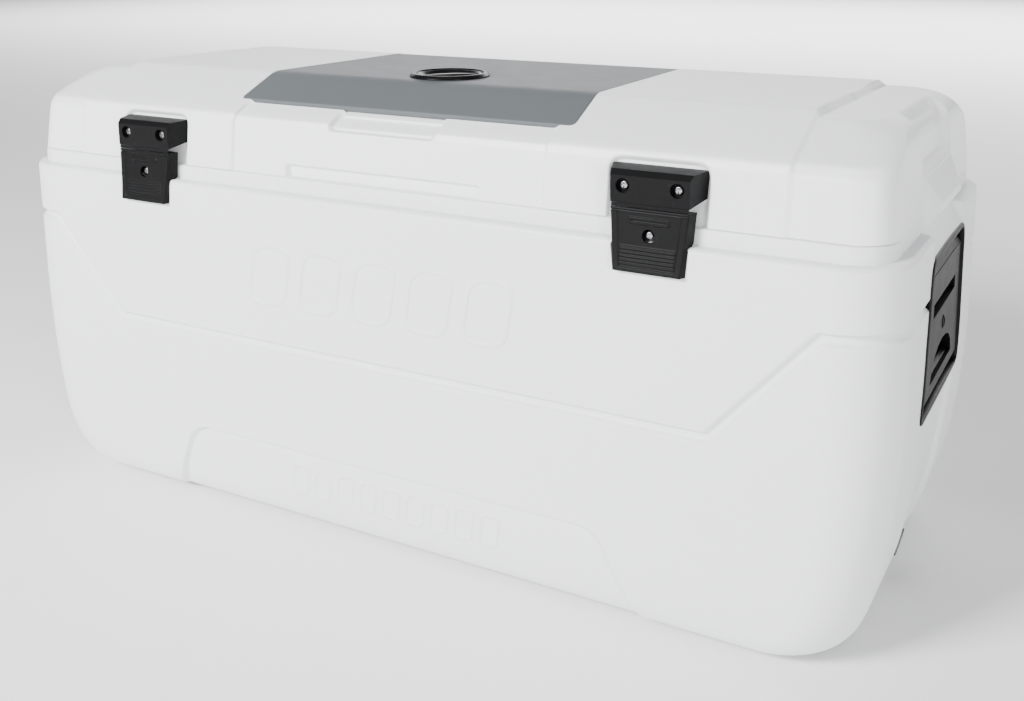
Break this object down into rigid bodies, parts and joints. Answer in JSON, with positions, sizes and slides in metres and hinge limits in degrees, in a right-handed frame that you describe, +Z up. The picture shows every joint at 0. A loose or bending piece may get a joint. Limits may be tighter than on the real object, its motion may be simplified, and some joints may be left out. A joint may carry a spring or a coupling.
{
  "type": "insulated ice chest",
  "caption": "Large insulated chest cooler with domed lid, quick-access hatch with turn knob, two front latches, swing-up end handles and end drain",
  "frame": {"origin": "under the middle of the cooler, on the surface that it stands on", "axes": "+X along the length towards the drain end, -Y out of the front with the latches, +Z up"},
  "size_m": [1.0834, 0.477, 0.5185],
  "materials": {
    "white_shell": "satin moulded polyethylene",
    "gray_hatch": "satin moulded",
    "black_plastic": "satin moulded",
    "black_latch": "satin thermoplastic rubber",
    "gray_drain": "satin moulded",
    "foam": "matte rigid foam",
    "steel": "stainless",
    "rubber_seal": "matte"
  },
  "bodies": {
    "body": {"body_outer_shell": "white_shell", "body_insulation": "foam", "body_liner": "white_shell", "handle_bezel_left": "black_plastic", "handle_bezel_right": "black_plastic", "handle_rod_left": "steel", "handle_rod_right": "steel", "bezel_screw_left_front": "steel", "bezel_screw_left_rear": "steel", "bezel_screw_right_front": "steel", "bezel_screw_right_rear": "steel", "drain_spout": "gray_drain", "drain_gasket": "rubber_seal", "drain_nut": "gray_drain", "drain_tether": "black_plastic", "latch_catch_left": "black_latch", "latch_catch_right": "black_latch", "latch_catch_screw_left": "steel", "latch_catch_screw_right": "steel", "hinge_body_leaf_left": "black_plastic", "hinge_body_leaf_middle": "black_plastic", "hinge_body_leaf_right": "black_plastic"},
    "lid": {"lid_outer_shell": "white_shell", "lid_insulation": "foam", "lid_liner": "white_shell", "latch_bracket_left": "black_latch", "latch_bracket_right": "black_latch", "latch_screw_left_outer": "steel", "latch_screw_left_inner": "steel", "latch_screw_right_outer": "steel", "latch_screw_right_inner": "steel", "latch_hinge_web_left": "black_latch", "latch_hinge_web_right": "black_latch", "hinge_lid_leaf_left": "black_plastic", "hinge_lid_leaf_middle": "black_plastic", "hinge_lid_leaf_right": "black_plastic", "hinge_pin_left": "steel", "hinge_pin_middle": "steel", "hinge_pin_right": "steel", "hatch_pin_left": "steel", "hatch_pin_right": "steel"},
    "hatch": {"hatch_panel": "gray_hatch", "hatch_insulation": "foam", "hatch_plug": "gray_hatch", "knob_ring": "black_plastic", "hatch_seal": "rubber_seal"},
    "knob": {"hatch_knob": "black_plastic"},
    "lock_bolt": {"hatch_lock_bolt": "black_plastic"},
    "latch_flap_left": {"latch_flap_left": "black_latch"},
    "latch_flap_right": {"latch_flap_right": "black_latch"},
    "handle_left": {"handle_grip_left": "black_plastic"},
    "handle_right": {"handle_grip_right": "black_plastic"},
    "cap_washer": {"drain_cap_washer": "rubber_seal"},
    "drain_cap": {"drain_cap": "gray_drain"}
  },
  "joints": [
    {"name": "lid_hinge", "type": "hinge", "parent": "body", "child": "lid", "pos_m": [0, 0.233, 0.414], "axis": [-1, 0, 0], "range_deg": [0, 100]},
    {"name": "hatch_hinge", "type": "hinge", "parent": "lid", "child": "hatch", "pos_m": [0, 0.121, 0.508], "axis": [-1, 0, 0], "range_deg": [0, 90]},
    {"name": "knob_turn", "type": "hinge", "parent": "hatch", "child": "knob", "pos_m": [0, -0.07, 0.514], "axis": [0, 0, 1], "range_deg": [0, 90]},
    {"name": "bolt_slide", "type": "slide", "parent": "hatch", "child": "lock_bolt", "axis": [0, -1, 0], "range_m": [0, 0.012]},
    {"name": "cap_travel", "type": "slide", "parent": "body", "child": "cap_washer", "axis": [0.9781, 0, -0.2079], "range_m": [0, 0.0075]},
    {"name": "cap_turn", "type": "hinge", "parent": "cap_washer", "child": "drain_cap", "pos_m": [0.495, 0, 0.042], "axis": [0.9781, 0, -0.2079], "range_deg": [0, 1080]},
    {"name": "latch_left_hinge", "type": "hinge", "parent": "lid", "child": "latch_flap_left", "pos_m": [-0.316, -0.2305, 0.4295], "axis": [-1, 0, 0], "range_deg": [0, 105]},
    {"name": "latch_right_hinge", "type": "hinge", "parent": "lid", "child": "latch_flap_right", "pos_m": [0.316, -0.2305, 0.4295], "axis": [-1, 0, 0], "range_deg": [0, 105]},
    {"name": "handle_left_swing", "type": "hinge", "parent": "body", "child": "handle_left", "pos_m": [-0.5235, 0, 0.348], "axis": [0, 1, 0], "range_deg": [0, 90]},
    {"name": "handle_right_swing", "type": "hinge", "parent": "body", "child": "handle_right", "pos_m": [0.5235, 0, 0.348], "axis": [0, -1, 0], "range_deg": [0, 90]}
  ],
  "couplings": [
    {"joint": "bolt_slide", "follows": "knob_turn", "m_per_rad": 0.0076394},
    {"joint": "cap_travel", "follows": "cap_turn", "m_per_rad": 0.00039789}
  ]
}
